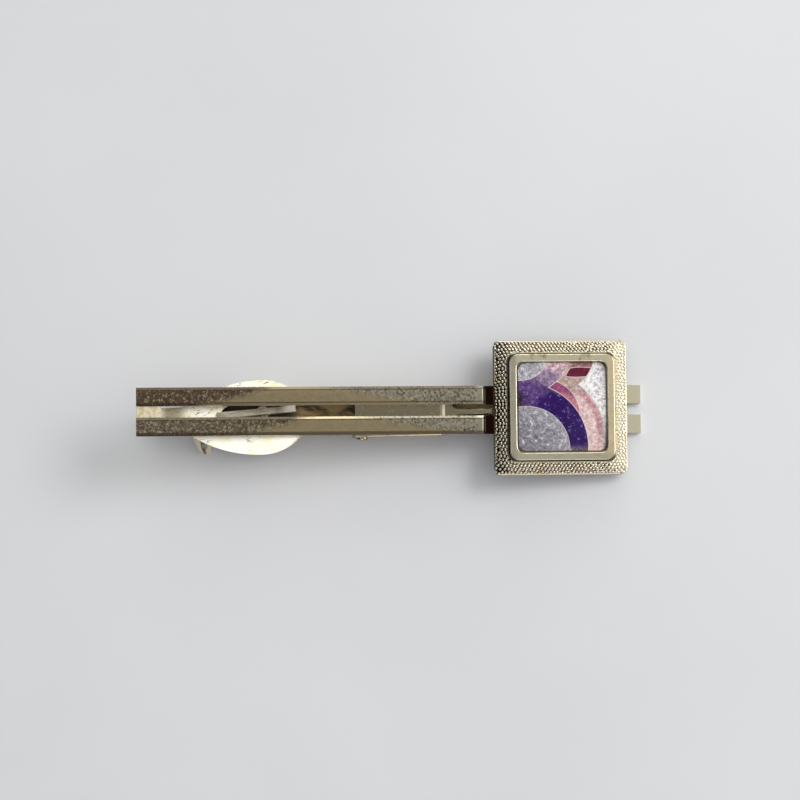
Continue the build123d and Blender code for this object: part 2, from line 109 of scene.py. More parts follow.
def smoothstep(low, high, value):
    """0 below low, 1 above high, and a smooth rise between them."""
    t = np.clip((value - low) / (high - low), 0, 1)
    return t * t * (3 - 2 * t)


def round_edges(obj, width, angle, harden):
    """A small bevel on the edges sharper than an angle in degrees. Large flat faces stay flat beside it."""
    bevel = obj.modifiers.new("edges", "BEVEL")
    bevel.width = width * MM
    bevel.segments = 2
    bevel.limit_method = "ANGLE"
    bevel.angle_limit = math.radians(angle)
    bevel.harden_normals = harden
    even = obj.modifiers.new("even", "WEIGHTED_NORMAL")
    even.weight = 100
    even.keep_sharp = True


# Node helpers

# Sockets of the Mix node when it mixes colours
MIX_FACTOR = 0
MIX_FIRST = 6
MIX_SECOND = 7
MIX_RESULT = 2


class Graph:
    """Adds nodes to the node tree of a material or a world."""

    def __init__(self, owner):
        owner.use_nodes = True
        self.tree = owner.node_tree
        self.tree.nodes.clear()

    def feed(self, socket, value):
        """Links a socket to another node's output, or sets it to a plain value."""
        if isinstance(value, bpy.types.NodeSocket):
            self.tree.links.new(value, socket)
        else:
            socket.default_value = value

    def add(self, kind, inputs=None, **settings):
        node = self.tree.nodes.new(kind)
        for key, value in settings.items():
            setattr(node, key, value)
        for key, value in (inputs or {}).items():
            self.feed(node.inputs[key], value)
        return node

    def mix(self, factor, first, second, blend="MIX"):
        """The first colour where factor is 0 and the second where it is 1."""
        node = self.add("ShaderNodeMix", data_type="RGBA", blend_type=blend)
        self.feed(node.inputs[MIX_FACTOR], factor)
        for place, colour in ((MIX_FIRST, first), (MIX_SECOND, second)):
            self.feed(node.inputs[place], (*colour, 1) if isinstance(colour, tuple) else colour)
        return node.outputs[MIX_RESULT]


class Shader(Graph):
    """Builds one procedural material. Positions come in millimetres, in the row frame."""

    def __init__(self, name):
        self.material = bpy.data.materials.new(name)
        super().__init__(self.material)
        self.position = self.scaled(self.add("ShaderNodeTexCoord").outputs["Object"], (1 / MM,) * 3)

    def scaled(self, vector, scale, rotation=0.0):
        """The vector turned about Z by a number of degrees, then scaled."""
        turn = (0, 0, math.radians(rotation))
        turned = self.add("ShaderNodeMapping", {"Vector": vector, "Rotation": turn}).outputs[0]
        return self.add("ShaderNodeMapping", {"Vector": turned, "Scale": scale}).outputs[0]

    def noise(self, scale, detail=2.0, roughness=0.5, stretch=(1, 1, 1), rotation=0.0):
        """Noise from 0 to 1. Scale is in cycles per millimetre."""
        inputs = {"Vector": self.scaled(self.position, stretch, rotation), "Scale": scale}
        inputs |= {"Detail": detail, "Roughness": roughness}
        return self.add("ShaderNodeTexNoise", inputs).outputs["Fac"]

    def math(self, operation, a, b=0.0):
        node = self.add("ShaderNodeMath", operation=operation)
        self.feed(node.inputs[0], a)
        self.feed(node.inputs[1], b)
        return node.outputs[0]

    def plus(self, a, b):
        return self.math("ADD", a, b)

    def minus(self, a, b):
        return self.math("SUBTRACT", a, b)

    def times(self, first, *others):
        product = first
        for factor in others:
            product = self.math("MULTIPLY", product, factor)
        return product

    def larger(self, a, b):
        return self.math("MAXIMUM", a, b)

    def size(self, a):
        """The value without its sign."""
        return self.math("ABSOLUTE", a)

    def ramp(self, value, low, high, to_low=0.0, to_high=1.0, smooth=True):
        """Value from low to high, mapped onto to_low to to_high and held beyond."""
        return self.add(
            "ShaderNodeMapRange",
            {"Value": value, "From Min": low, "From Max": high, "To Min": to_low, "To Max": to_high},
            interpolation_type="SMOOTHSTEP" if smooth else "LINEAR",
        ).outputs[0]

    def axis(self, name):
        """One coordinate of the position, in millimetres."""
        return self.add("ShaderNodeSeparateXYZ", {"Vector": self.position}).outputs[name]

    def facing(self, name):
        """One coordinate of the surface's own direction, from -1 to 1."""
        direction = self.add("ShaderNodeTexCoord").outputs["Normal"]
        return self.add("ShaderNodeSeparateXYZ", {"Vector": direction}).outputs[name]

    def attribute(self, name):
        """The number that set_attribute left on the mesh."""
        return self.add("ShaderNodeAttribute", attribute_name=name).outputs["Fac"]

    def bump(self, height, depth, below=None):
        """A bump whose height runs over depth millimetres, on top of an earlier bump."""
        inputs = {"Height": height, "Distance": depth * MM, "Strength": 1.0}
        if below is not None:
            inputs["Normal"] = below
        return self.add("ShaderNodeBump", inputs).outputs[0]

    def surface(self, **inputs):
        """Finishes the material with a Principled shader. Inputs are named with _ for a space."""
        named = {key.replace("_", " "): value for key, value in inputs.items()}
        principled = self.add("ShaderNodeBsdfPrincipled", named)
        self.add("ShaderNodeOutputMaterial", {"Surface": principled.outputs[0]})
        return self.material


def scratches(shader, density, rotation, length=12.0):
    """Fine lines, 0 to 1, mostly along one direction."""
    lines = shader.noise(density, 3.0, 0.7, stretch=(1 / length, 1, 1 / length), rotation=rotation)
    return shader.ramp(lines, 0.62, 0.72)


def paint(material, *names):
    """Gives carried-over CAD nodes a material."""
    for name in names:
        for slot in NODES[name].material_slots:
            slot.link = "OBJECT"
            slot.material = material


# Materials

# Where the rails' plate changes along X, from the start to the end of each change
BROWN_FADE = (TAIL_X + 11.6, TAIL_X + 15.6)
GREY_FADE = (TAIL_X + 26.5, TAIL_X + 33)
RIM_FADE = (RAIL_X_END - 1.3, RAIL_X_END - 0.5)
RECESS_FADE = (RAIL_X_END - 0.1, RAIL_X_END + 0.2)
UNDER_HEAD = (HEAD_X, HEAD_X + 1)


def rail_metal():
    """Worn bright plate: brown and speckled at the tail, a clean olive sweep, then grey and pitted. These
    tones are partly the plate's own and partly a painted reflection of the room.
    """
    s = Shader("rail_metal")
    x, y = s.axis("X"), s.axis("Y")
    side = s.math("SIGN", y)
    across = s.times(side, s.minus(s.size(y), RAIL_Y))
    before_head = s.ramp(x, *UNDER_HEAD, 1, 0)

    # The three stretches of plate, partly its own tones and partly a painted reflection of the room that
    # slants across each rail, with wandering borders; then the rim and the tongue
    wander = s.times(s.minus(s.noise(0.35, 3.0), 0.5), 5.0)
    slant = s.plus(s.plus(x, wander), s.times(side, 2.2))
    clean = s.ramp(s.minus(slant, s.times(across, 3.5)), *BROWN_FADE)
    grey = s.ramp(s.plus(slant, s.times(across, 6.0)), *GREY_FADE)
    brown = s.mix(s.ramp(side, -1, 1), (0.30, 0.26, 0.20), (0.20, 0.15, 0.115))
    tone = s.mix(grey, s.mix(clean, brown, (0.76, 0.67, 0.47)), (0.53, 0.515, 0.455))
    rim = s.ramp(x, *RIM_FADE)
    tone = s.mix(rim, tone, (0.74, 0.76, 0.64))
    tone = s.mix(s.ramp(x, *UNDER_HEAD), tone, (0.96, 0.95, 0.81))

    # Dark pits and light specks, which keep mostly to the worn stretches
    worn = s.larger(s.minus(1.0, clean), grey)
    worn = s.times(s.ramp(worn, 0, 1, 0.18, 1.0), s.minus(1.0, rim))
    fine = s.noise(3.6, 4.0, 0.72)
    clumps = s.ramp(s.noise(0.9, 3.0, 0.6), 0.25, 0.5)
    light = s.times(s.ramp(fine, 0.55, 0.63), worn, clumps, s.ramp(grey, 0, 1, 1.0, 0.45))
    dark = s.times(s.ramp(fine, 0.50, 0.43), worn, clumps)
    tone = s.mix(s.times(dark, 0.85), tone, (0.10, 0.075, 0.05))
    tone = s.mix(s.times(light, 0.85), tone, (0.33, 0.29, 0.22))

    # Painted shade along the bevels of the long edges, on the end faces before the head and in the crease
    # beside each bevel, and a painted shadow in the recess where the head starts
    border = s.ramp(s.size(across), RAIL_HALF - 0.3, RAIL_HALF - 0.24)
    border = s.times(border, s.ramp(s.facing("Z"), 0.1, 0.3), before_head)
    # How deep the painted shade on the edges is: deeper on the outer edge and outside the olive stretch
    outer = s.ramp(s.times(across, side), 0.0, 0.1, 0.3, 0.8)
    dull = s.larger(outer, s.ramp(clean, 0, 1, 0.72, 0.0))
    tone = s.mix(s.times(border, dull), tone, (0.06, 0.05, 0.04))
    # Painted shade on the faces that look towards the head
    end = s.times(s.ramp(s.facing("X"), 0.15, 0.5), before_head)
    tone = s.mix(end, tone, (0.10, 0.10, 0.085))
    # Painted shade in the crease beside each bevel
    crease_shade = s.size(s.minus(s.size(across), RAIL_HALF - 0.32))
    crease_shade = s.times(s.ramp(crease_shade, 0.05, 0.12, 1, 0), s.ramp(x, RAIL_X_END, HEAD_X, 1, 0))
    tone = s.mix(s.times(crease_shade, 0.6), tone, (0.10, 0.07, 0.045))
    # Painted shadow in the recess between the rails' end and the head
    recess = s.times(s.ramp(x, *RECESS_FADE), before_head)
    tone = s.mix(recess, tone, (0.030, 0.012, 0.007))

    marks = s.larger(scratches(s, 5.0, 4), scratches(s, 6.0, -38, 8.0))
    normal = s.bump(s.noise(1.6, 2.0, 0.5), 0.0012)
    normal = s.bump(s.times(s.noise(3.5, 1.0), worn), 0.0014, normal)
    normal = s.bump(marks, -0.0012, normal)
    rough = s.plus(s.ramp(worn, 0, 1, 0.14, 0.24), s.times(light, 0.2))
    metal = s.ramp(light, 0, 1, 1.0, 0.25)
    return s.surface(Base_Color=tone, Metallic=metal, Roughness=rough, Normal=normal)


def bright_metal(name, colour, stain, roughness=0.18, grain=0.002, overlay=None, metal=1.0):
    """Plated sheet with slight stains, a soft waviness and fine scratches.

    The covering function, if given, returns where a second covering lies and its colour.
    """
    s = Shader(name)
    stains = s.ramp(s.noise(0.7, 4.0, 0.6), 0.45, 0.75)
    tone = s.mix(stains, colour, stain)
    marks = s.larger(scratches(s, 6.0, 25, 9.0), scratches(s, 5.0, -50, 7.0))
    normal = s.bump(s.noise(1.4, 3.0, 0.55), grain)
    normal = s.bump(marks, -0.003, normal)
    rough = s.ramp(stains, 0, 1, roughness, roughness + 0.15)
    rough = s.plus(rough, s.times(marks, 0.12))
    # A second, darker covering, laid where the covering function puts it
    if overlay is not None:
        covered, darkening_tone = overlay(s)
        tone = s.mix(covered, tone, darkening_tone)
        metal = s.ramp(covered, 0, 1, 1.0, 0.25)
        rough = s.larger(rough, s.ramp(covered, 0, 1, 0.0, 0.45))
    return s.surface(Base_Color=tone, Metallic=metal, Roughness=rough, Normal=normal)


def lever_hollow_darkening(s):
    """Darkening of the lever's up-facing surfaces: near black towards the tail and golden brown by the
    hinge.
    """
    streaks = s.noise(1.3, 3.0, 0.6, stretch=(0.25, 1, 1), rotation=8)
    near_hinge = s.ramp(s.axis("X"), HINGE_X - 9.0, HINGE_X - 6.5)
    golden = s.times(near_hinge, s.ramp(streaks, 0.35, 0.6))
    darkening_tone = s.mix(golden, (0.016, 0.008, 0.005), (0.50, 0.36, 0.17))
    return s.times(s.ramp(s.facing("Z"), 0.1, 0.5), 0.97), darkening_tone


def thumb_metal():
    """The thumb plate: very bright, with short dark hand scratches and a golden, blistered blunt end."""
    s = Shader("thumb_metal")
    edge = s.minus(s.axis("X"), s.times(s.axis("Y"), 0.9))
    patch = s.ramp(edge, HINGE_X - 5.6, HINGE_X - 3.2)
    blister = s.ramp(s.noise(3.2, 3.0, 0.7), 0.44, 0.58)
    gilt = s.times(patch, blister, 0.85)
    cream = s.ramp(s.noise(0.45, 3.0, 0.6), 0.42, 0.62)
    tone = s.mix(cream, (0.93, 0.92, 0.84), (0.88, 0.84, 0.66))
    tone = s.mix(gilt, tone, (0.46, 0.40, 0.17))
    lines = s.noise(4.2, 2.0, 0.6, stretch=(0.16, 1, 1), rotation=-16)
    crossing = s.noise(4.6, 2.0, 0.6, stretch=(0.2, 1, 1), rotation=24)
    marks = s.larger(s.ramp(lines, 0.6, 0.68), s.ramp(crossing, 0.66, 0.72))
    marks = s.times(marks, s.ramp(s.noise(0.42, 1.0), 0.46, 0.58))
    tone = s.mix(s.times(marks, 0.7), tone, (0.34, 0.27, 0.17))
    flecks = s.ramp(s.noise(2.6, 4.0, 0.75), 0.68, 0.74)
    tone = s.mix(s.times(flecks, 0.6), tone, (0.50, 0.42, 0.26))
    normal = s.bump(s.noise(0.8, 2.0), 0.004)
    normal = s.bump(marks, -0.003, normal)
    normal = s.bump(s.times(gilt, s.noise(3.0)), 0.03, normal)
    rough = s.ramp(marks, 0, 1, 0.24, 0.36)
    return s.surface(Base_Color=tone, Metallic=1.0, Roughness=rough, Normal=normal)


def solder_metal():
    """The tail spacer: pale, dull solder, mottled with yellow."""
    s = Shader("solder_metal")
    mottle = s.ramp(s.noise(1.8, 3.0, 0.65), 0.4, 0.66)
    tone = s.mix(mottle, (0.86, 0.80, 0.62), (0.62, 0.52, 0.30))
    normal = s.bump(s.noise(2.6, 2.0), 0.012)
    return s.surface(Base_Color=tone, Metallic=0.35, Roughness=0.45, Normal=normal)


def spring_metal(end_x):
    """Smooth spring steel with lengthwise drawing lines, and a painted highlight, pale and less metallic,
    towards end_x, where it bends round.
    """
    s = Shader("spring_metal")
    # Painted highlight on the bend, towards end_x
    pale = s.ramp(s.axis("X"), end_x - 2.4, end_x - 0.5)
    drawn = s.ramp(s.noise(1.6, 1.0, stretch=(0.1, 1, 1), rotation=-8), 0.4, 0.6)
    tone = s.mix(drawn, (0.38, 0.35, 0.30), (0.52, 0.49, 0.43))
    tone = s.mix(pale, tone, (1.0, 0.97, 0.90))
    normal = s.bump(s.noise(1.2, 1.0), 0.002)
    metal = s.ramp(pale, 0, 1, 0.9, 0.3)
    return s.surface(Base_Color=tone, Metallic=metal, Roughness=0.26, Normal=normal)


def lug_metal():
    """The chain lug: brown plate with bright rubbed stripes along its length."""
    s = Shader("lug_metal")
    stripes = s.noise(1.7, 1.0, 0.4, stretch=(1, 0.2, 0.2), rotation=-20)
    tone = s.mix(s.ramp(stripes, 0.40, 0.50), (0.34, 0.22, 0.12), (1.0, 0.94, 0.80))
    normal = s.bump(stripes, 0.06)
    return s.surface(Base_Color=tone, Metallic=0.5, Roughness=0.35, Normal=normal)


def satin_metal():
    """The bezel ring: greenish-grey satin plate, lightly rubbed, with dark specks and brown stains, a
    painted highlight on its right side and painted shade on its left side and foot.
    """
    s = Shader("ring_satin")
    x, y = s.axis("X"), s.axis("Y")
    cloud = s.ramp(s.noise(0.8, 4.0, 0.65), 0.35, 0.68)
    tone = s.mix(cloud, (0.90, 0.86, 0.72), (0.72, 0.73, 0.62))
    # Painted highlight on the right side
    right = s.ramp(x, HEAD_X + 4.8, HEAD_X + 5.6)
    tone = s.mix(right, tone, (0.92, 0.81, 0.61))
    # Painted shade on the foot
    foot = s.ramp(y, HEAD_Y - 5.6, HEAD_Y - 5.0, 1, 0)
    tone = s.mix(s.times(foot, 0.6), tone, (0.58, 0.57, 0.48))
    # Painted shade on the left side
    left = s.ramp(x, HEAD_X - 5.6, HEAD_X - 5.0, 1, 0)
    tone = s.mix(s.times(left, 0.7), tone, (0.50, 0.49, 0.44))
    stains = s.times(s.ramp(s.noise(0.6, 3.0, 0.7), 0.6, 0.72), 0.55)
    tone = s.mix(stains, tone, (0.30, 0.22, 0.12))
    specks = s.ramp(s.noise(3.4, 3.0, 0.75), 0.63, 0.71)
    tone = s.mix(s.times(specks, 0.6), tone, (0.20, 0.17, 0.12))
    normal = s.bump(s.noise(5.0, 3.0, 0.7), 0.0015)
    normal = s.bump(s.noise(1.2, 2.0), 0.004, normal)
    rough = s.ramp(cloud, 0, 1, 0.26, 0.38)
    return s.surface(Base_Color=tone, Metallic=1.0, Roughness=rough, Normal=normal)


def grain_metal():
    """The granulated frame: polished tops, and hollows with painted shade, near black, on the left and
    painted light, pale, on the right.
    """
    s = Shader("frame_grain")
    x = s.axis("X")
    # Painted shade on the left band and painted light on the right band
    left = s.ramp(x, HEAD_X - RING_HALF - 0.5, HEAD_X - RING_HALF + 0.5, 1, 0)
    right = s.ramp(x, HEAD_X + RING_HALF - 0.8, HEAD_X + RING_HALF + 0.2)
    brass = s.ramp(s.noise(0.32, 2.0), 0.62, 0.7)
    top = s.mix(s.times(brass, 0.7), (0.95, 0.92, 0.80), (0.86, 0.64, 0.32))
    below = s.mix(left, (0.25, 0.18, 0.11), (0.015, 0.007, 0.004))
    below = s.mix(right, below, (0.74, 0.68, 0.54))
    # The left band's hollows reach further, for more painted shade
    depth = s.plus(s.attribute("hollow"), s.times(left, 0.06))
    tone = s.mix(s.ramp(depth, 0.28, 0.68), top, below)
    tone = s.mix(s.times(s.attribute("border"), 0.85), tone, (0.30, 0.28, 0.23))
    # Painted shade in the groove along the inner lip, near black on the left
    lip_tone = s.mix(left, (0.32, 0.28, 0.20), (0.05, 0.035, 0.025))
    tone = s.mix(s.times(s.attribute("lip"), 0.85), tone, lip_tone)
    rough = s.ramp(depth, 0.1, 0.7, 0.14, 0.34)
    normal = s.bump(s.noise(7.0, 3.0, 0.6), 0.004)
    return s.surface(Base_Color=tone, Metallic=1.0, Roughness=rough, Normal=normal)


def glass_over_foil(name, colour, shade, contrast, flash):
    """Clear coloured glass over crinkled foil, whose facets glint at different angles, under a smooth coat.

    shade is a function that varies the colour over the tile.
    """
    s = Shader(name)
    level = s.plus(s.times(s.noise(2.3, 3.0, 0.7), 0.6), s.times(s.noise(5.0, 2.0, 0.6), 0.4))
    swing = 0.6 * contrast
    lit = s.ramp(level, 0.36, 0.64, 1.0 - swing, 1.0 + swing, smooth=False)
    lit = s.add("ShaderNodeCombineXYZ", {"X": lit, "Y": lit, "Z": lit}).outputs[0]
    tone = s.mix(1.0, shade(s, colour), lit, "MULTIPLY")
    glint = s.times(s.ramp(level, 0.56, 0.65), flash)
    tone = s.mix(glint, tone, (0.92, 0.91, 0.98))
    crinkle = s.bump(level, 0.10)
    ripple = s.bump(s.noise(0.6, 1.0), 0.006)
    return s.surface(
        Base_Color=tone,
        Metallic=0.25,
        Roughness=0.4,
        Specular_IOR_Level=0.2,
        Normal=crinkle,
        Coat_Weight=1.0,
        Coat_Roughness=0.05,
        Coat_Normal=ripple,
        Coat_IOR=1.3,
    )


def tile_reach(s, x, y):
    """Distance in millimetres from a point of the tile, given from its centre."""
    point = (TILE_X + x, TILE_Y + y, TILE_HIGH.z)
    offset = s.add("ShaderNodeVectorMath", {0: s.position, 1: point}, operation="SUBTRACT").outputs[0]
    flat = s.scaled(offset, (1, 1, 0))
    return s.add("ShaderNodeVectorMath", {0: flat}, operation="LENGTH").outputs["Value"]


def tile_axes(s):
    """How far to the right and how far up a point is from the tile's centre."""
    return s.minus(s.axis("X"), TILE_X), s.minus(s.axis("Y"), TILE_Y)


def ragged(s, value, amount):
    """The value with noise added, so that a border drawn from it is broken up."""
    return s.plus(value, s.times(s.minus(s.noise(1.3, 3.0, 0.7), 0.5), amount))


def clear_shade(s, body):
    """Painted shading: grey towards the lower left and nearly white towards the upper right, where the
    light falls.
    """
    right, up = tile_axes(s)
    lit = s.plus(right, up)
    grey = s.mix(s.ramp(lit, -9.0, -3.0), (0.26, 0.25, 0.31), body)
    grey = s.mix(s.ramp(lit, -2.5, -1.0), grey, (0.46, 0.45, 0.54))
    return s.mix(s.ramp(lit, 1.5, 3.5), grey, (0.82, 0.81, 0.87))


def purple_shade(s, body):
    """Deep violet at the lower right, then glittery lilac, and a peachy tip at the upper edge, with a
    painted reflection on the bottom rim and painted shade by the left rim.
    """
    right, up = tile_axes(s)
    rise = ragged(s, s.minus(up, s.times(right, 0.9)), 2.6)
    loose = s.mix(s.ramp(rise, 2.4, 4.2), body, (0.115, 0.055, 0.235))
    climb = ragged(s, s.plus(s.times(right, 0.45), up), 1.6)
    lilac = s.mix(s.ramp(climb, 0.9, 2.3), loose, (0.31, 0.22, 0.37))
    peach = s.mix(s.ramp(climb, 3.1, 4.3), lilac, (0.70, 0.49, 0.57))
    # Painted reflection along the rounded bottom rim: paler violet
    foot = s.mix(s.ramp(up, -5.0, -4.3), (0.16, 0.12, 0.19), peach)
    # Painted shade beside the tile's left rim
    past_corner = s.ramp(tile_reach(s, -5.4, 0.9), 0.3, 1.6)
    return s.mix(past_corner, (0.022, 0.012, 0.03), foot)


def rose_shade(s, body):
    """Rose in the sweep, deeper towards its foot, and crimson in the small accent."""
    _, up = tile_axes(s)
    sweep = s.mix(s.ramp(up, 0.2, 2.2), (0.52, 0.22, 0.28), body)
    return s.mix(s.ramp(up, 2.9, 3.2), sweep, (0.13, 0.004, 0.035))


def blush_shade(s, body):
    """Pale pink with a rose stripe inside the outer arc, beige at the crest and brown-rose at the tip."""
    right, up = tile_axes(s)
    crest = s.mix(s.ramp(up, 0.6, 2.2), body, (0.48, 0.35, 0.34))
    reach = tile_reach(s, -2.5, -3.4)
    stripe = s.times(s.ramp(reach, 6.35, 6.75), s.ramp(reach, 7.0, 7.36, 1, 0.35))
    stripe = s.times(stripe, s.ramp(up, -4.4, -2.2), s.ramp(up, 1.2, 2.4, 1, 0))
    tone = s.mix(s.times(stripe, 0.85), crest, (0.46, 0.22, 0.27))
    beside_tip = s.times(s.ramp(up, 3.4, 4.3), s.ramp(right, 1.2, 0.4))
    tone = s.mix(beside_tip, tone, (0.66, 0.45, 0.44))
    tip = s.times(s.ramp(up, 4.2, 4.6), s.ramp(right, 0.3, 1.3))
    return s.mix(tip, tone, (0.30, 0.15, 0.16))


def paint_enamel():
    """Each glass has its colour, its shading, its contrast and how strongly the foil flashes through."""
    clear = glass_over_foil("glass_clear", (0.38, 0.37, 0.445), clear_shade, 1.0, 0.95)
    violet = glass_over_foil("glass_violet", (0.024, 0.0006, 0.125), purple_shade, 1.1, 0.22)
    rose = glass_over_foil("glass_rose", (0.31, 0.07, 0.19), rose_shade, 0.8, 0.08)
    blush = glass_over_foil("glass_blush", (0.76, 0.56, 0.58), blush_shade, 0.7, 0.4)
    paint(clear, "enamel_clear")
    paint(violet, "enamel_violet", "enamel_lilac")
    paint(rose, "enamel_rose")
    paint(blush, "enamel_blush")


# Head frame, in millimetres

GRAIN_PITCH = 0.43
GRAIN_HEIGHT = 0.16
GRAIN_JITTER = 0.12 * GRAIN_PITCH
GRAIN_SINK = 0.05
EVENING_ROUNDS = 12
BAND_OUTER = HEAD_HALF - 0.13
BAND_INNER = RING_HALF + 0.24
BAND_STEPS = 34
BAND_BULGE = 0.09
BAND_DROP = 0.1
LIP_HALF = RING_HALF + 0.17
GROOVE_HALF = RING_HALF + 0.12
GROOVE_BOTTOM = 1.4
GROOVE_CORNER = 1.2
BORE_HALF = RING_HALF + 0.005
BORE_CORNER = GROOVE_CORNER - 0.12
FOOT_HALF = HEAD_HALF - 0.82
FOOT_RISE = 0.4
EDGE_TOP = 1.0
EDGE_DROP = 0.04
EDGE_ROUND = 0.14
OUTER_CORNER = 0.9
INNER_CORNER = 1.15
SIDE_POINTS = 300
CORNER_POINTS = 26


def rounded_square(half, corner):
    """Points round a square with rounded corners, always the same number on each stretch."""
    points = []
    run = np.linspace(-1, 1, SIDE_POINTS, endpoint=False) * (half - corner)
    arc = np.linspace(0, math.pi / 2, CORNER_POINTS, endpoint=False)
    for turn in range(4):
        side = np.stack([np.full(SIDE_POINTS, half), run], 1)
        curve = np.stack([np.cos(arc), np.sin(arc)], 1) * corner + (half - corner)
        angle = turn * math.pi / 2
        cosine, sine = math.cos(angle), math.sin(angle)
        turned = np.concatenate([side, curve]) @ np.array([[cosine, sine], [-sine, cosine]])
        points.append(turned)
    return np.concatenate(points)


def inner_reach(x, y):
    """How far out a point lies, measured along rounded squares like the band's inner edge."""
    straight = BAND_INNER - INNER_CORNER
    x, y = np.abs(x), np.abs(y)
    corner = (x > straight) & (y > straight)
    return np.where(corner, straight + np.hypot(x - straight, y - straight), np.maximum(x, y))


def grain_centres():
    """Grain positions over the sloped band, from a jittered lattice that is then evened out."""
    row = GRAIN_PITCH * math.sqrt(3) / 2
    span = int(HEAD_HALF / row) + 2
    points = []
    for j in range(-span, span + 1):
        for i in range(-span, span + 1):
            points.append(((i + 0.5 * (j % 2)) * GRAIN_PITCH, j * row))
    points = np.array(points) + RNG.normal(0, GRAIN_JITTER, (len(points), 2))
    reach = np.abs(points).max(1)
    points = points[(reach < BAND_OUTER + 0.1) & (inner_reach(*points.T) > BAND_INNER - 0.1)]
    for _ in range(EVENING_ROUNDS):
        # Push grains apart that are closer than the pitch, then bring strays back onto the band
        delta = points[:, None] - points[None]
        distance = np.hypot(delta[..., 0], delta[..., 1]) + 1e-9
        np.fill_diagonal(distance, 9)
        push = np.clip(GRAIN_PITCH * 1.02 - distance, 0, None) * 0.35
        points = points + (delta / distance[..., None] * push[..., None]).sum(1)
        reach = np.abs(points).max(1)
        points = points * (np.minimum(reach, BAND_OUTER - 0.08) / reach)[:, None]
        inner = inner_reach(*points.T)
        points = points * (np.maximum(inner, BAND_INNER + 0.08) / inner)[:, None]
    return points


def frame_rings():
    """The frame's section as rings, each a half-width, a corner radius and a height.

    They run from the underside up the outer wall, over the slope and down the groove beside the ring.
    """
    low, top = FRAME_LOW.z, FRAME_HIGH.z
    wall = [(FOOT_HALF, low + FOOT_RISE), (FOOT_HALF, low), (HEAD_HALF - 0.1, low)]
    wall += [(HEAD_HALF - 0.02, low + 0.04), (HEAD_HALF, low + 0.1)]
    wall += [(HEAD_HALF, EDGE_TOP - EDGE_ROUND - EDGE_DROP)]
    for angle in (22, 45, 68, 90):
        turn = math.radians(angle)
        half = HEAD_HALF - EDGE_ROUND * (1 - math.cos(turn))
        wall.append((half, EDGE_TOP - EDGE_DROP - EDGE_ROUND * (1 - math.sin(turn))))
    rings = [(half, OUTER_CORNER, height) for half, height in wall]
    for step in range(BAND_STEPS + 1):
        t = step / BAND_STEPS
        half = BAND_OUTER + (BAND_INNER - BAND_OUTER) * t
        bulge = BAND_BULGE * math.sin(math.pi * t)
        rings.append((half, 0.88 + 0.3 * t, EDGE_TOP + (top - EDGE_TOP - BAND_DROP) * t + bulge))
    lip = [(LIP_HALF + 0.03, top - 0.05), (LIP_HALF, top - 0.01), (LIP_HALF - 0.04, top - 0.03)]
    groove = [(GROOVE_HALF, top - 0.12), (GROOVE_HALF, GROOVE_BOTTOM)]
    rings += [(half, GROOVE_CORNER, height) for half, height in lip + groove]
    rings += [(BORE_HALF, BORE_CORNER, height) for height in (GROOVE_BOTTOM, low + FOOT_RISE)]
    return rings


def ring_normals(base):
    """The direction square to the surface at each point of the stacked rings, always pointing up."""
    along = np.roll(base, -1, 1) - np.roll(base, 1, 1)
    across = np.gradient(base, axis=0)
    normal = np.cross(across, along)
    normal /= np.linalg.norm(normal, axis=2)[..., None] + 1e-12
    return normal * np.sign(normal[..., 2:3] + 1e-9)


def grain_relief(flat, inside):
    """How high the grains stand and how deep in a hollow each point is, for the points inside the band."""
    centres = grain_centres()
    tree = KDTree(len(centres))
    for index, (x, y) in enumerate(centres):
        tree.insert((x, y, 0), index)
    tree.balance()
    size = RNG.uniform(0.88, 1.08, len(centres))
    lift = RNG.uniform(0.8, 1.1, len(centres))
    rise = np.zeros(inside.shape)
    hollow = np.zeros(inside.shape)
    for i, j in np.argwhere(inside):
        x, y = flat[i, j]
        _, index, distance = tree.find((x, y, 0))
        radius = 0.5 * GRAIN_PITCH * size[index]
        share = min(distance / radius, 1.25)
        rise[i, j] = GRAIN_HEIGHT * lift[index] * max(0.0, 1 - share**2.4)
        hollow[i, j] = min(1.0, share) ** 3
    return rise, hollow


def build_head_frame():
    """The sloped frame again, with its grains as real relief."""
    rings = frame_rings()
    flat = np.stack([rounded_square(half, corner) for half, corner, _ in rings])
    height = np.array([z for *_, z in rings])[:, None] * np.ones(flat.shape[1])
    base = np.concatenate([flat, height[..., None]], 2)
    reach = np.abs(flat).max(2)
    inner = inner_reach(flat[..., 0], flat[..., 1])
    inside = (reach < BAND_OUTER + 0.02) & (inner > BAND_INNER - 0.02)
    rise, hollow = grain_relief(flat, inside)
    edge = np.minimum(smoothstep(0, 0.1, BAND_OUTER - reach), smoothstep(0, 0.1, inner - BAND_INNER))
    rise *= edge
    hollow *= np.clip(edge + 0.2, 0, 1) * inside
    sink = GRAIN_SINK * inside[..., None] * edge[..., None]
    points = base + ring_normals(base) * (rise[..., None] - sink)
    points[..., :2] += (HEAD_X, HEAD_Y)
    rows, columns = reach.shape
    index = np.arange(rows * columns).reshape(rows, columns)
    faces = []
    for i in range(rows):
        below, above = index[i], index[(i + 1) % rows]
        faces.append(np.stack([below, np.roll(below, -1), np.roll(above, -1), above], 1))
    obj = new_mesh("head_frame_grained", points.reshape(-1, 3), np.concatenate(faces))
    set_attribute(obj, "hollow", hollow.ravel())
    set_attribute(obj, "border", smoothstep(BAND_OUTER - 0.02, BAND_OUTER + 0.05, reach).ravel())
    set_attribute(obj, "lip", 1 - smoothstep(BAND_INNER, BAND_INNER + 0.06, inner).ravel())
    fix_normals(obj)
    obj.data.materials.append(grain_metal())
    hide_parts("head_frame")
    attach(obj, "bar")


# Hairpin spring

SPRING_SLICES = 25


